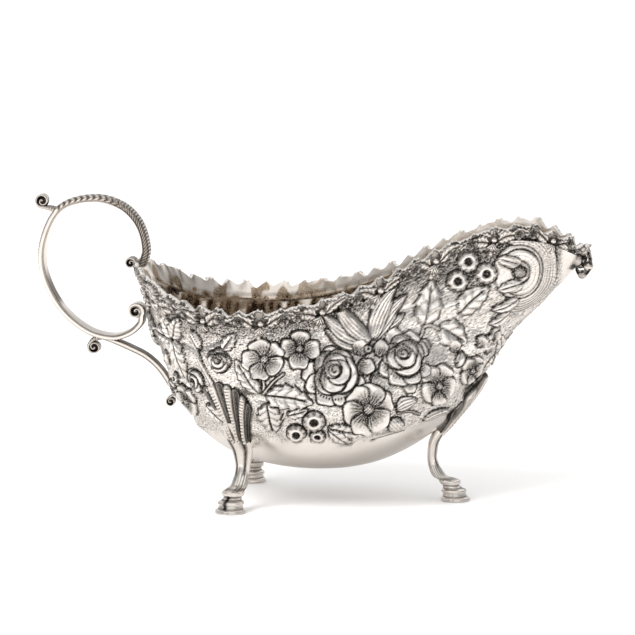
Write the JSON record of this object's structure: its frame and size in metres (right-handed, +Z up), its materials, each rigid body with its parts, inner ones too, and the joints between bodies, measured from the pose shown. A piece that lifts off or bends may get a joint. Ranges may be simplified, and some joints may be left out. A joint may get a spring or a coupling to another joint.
{
  "type": "sauce boat",
  "caption": "Footed silver sauce boat with a wide pouring lip, a scrolled loop handle, a pointed cast border, shell-topped hoofed legs and raised flowers and leaves.",
  "frame": {"origin": "on the ground, under the middle of the overall length and of the width", "axes": "+X towards the pouring lip (longest extent), +Y to the left of a person who looks towards the lip, +Z up"},
  "size_m": [0.229, 0.0996, 0.1247],
  "materials": {
    "raised_silver": "sterling silver sheet, raised and chased, polished highs with darkened recesses",
    "handle_silver": "sterling silver strip, polished, chased edges",
    "cast_silver": "cast sterling silver, polished highs with darkened recesses"
  },
  "bodies": {
    "root": {"bowl": "raised_silver", "handle_loop": "handle_silver", "handle_strap": "handle_silver", "thumb_scroll": "handle_silver", "rim_scroll": "handle_silver", "lower_scroll": "handle_silver", "body_scroll": "handle_silver", "rim_border_right": "cast_silver", "rim_border_left": "cast_silver", "lip_scroll": "cast_silver", "leg_front": "cast_silver", "leg_rear_right": "cast_silver", "leg_rear_left": "cast_silver", "shell_front": "cast_silver", "shell_rear_right": "cast_silver", "shell_rear_left": "cast_silver"}
  },
  "joints": []
}
